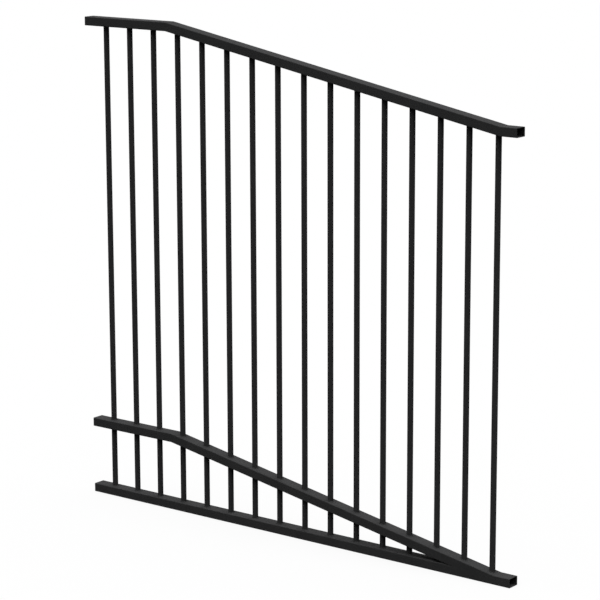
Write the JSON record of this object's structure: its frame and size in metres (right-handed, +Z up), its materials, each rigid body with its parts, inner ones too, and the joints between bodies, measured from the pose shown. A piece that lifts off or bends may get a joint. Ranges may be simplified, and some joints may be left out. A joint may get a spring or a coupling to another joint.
{
  "type": "raked fence panel",
  "caption": "Welded tubular fence panel of flat rectangular rails and round vertical pickets, whose top and middle rails rake down to follow a slope.",
  "frame": {"origin": "centre of the bottom rail's square-cut end at the tall side of the panel", "axes": "+X along the panel to the short side, +Y to the back, +Z up"},
  "size_m": [1.45, 0.038, 1.4],
  "materials": {
    "black_powder_coat": "satin black powder coat"
  },
  "bodies": {
    "root": {"bottom_rail": "black_powder_coat", "mid_rail_level": "black_powder_coat", "mid_rail_rake": "black_powder_coat", "top_rail_upper": "black_powder_coat", "top_rail_rake": "black_powder_coat", "top_rail_lower": "black_powder_coat", "picket_01": "black_powder_coat", "picket_02": "black_powder_coat", "picket_03": "black_powder_coat", "picket_04": "black_powder_coat", "picket_05": "black_powder_coat", "picket_06": "black_powder_coat", "picket_07": "black_powder_coat", "picket_08": "black_powder_coat", "picket_09": "black_powder_coat", "picket_10": "black_powder_coat", "picket_11": "black_powder_coat", "picket_12": "black_powder_coat", "picket_13": "black_powder_coat", "picket_14": "black_powder_coat", "picket_15": "black_powder_coat", "picket_16": "black_powder_coat"}
  },
  "joints": []
}
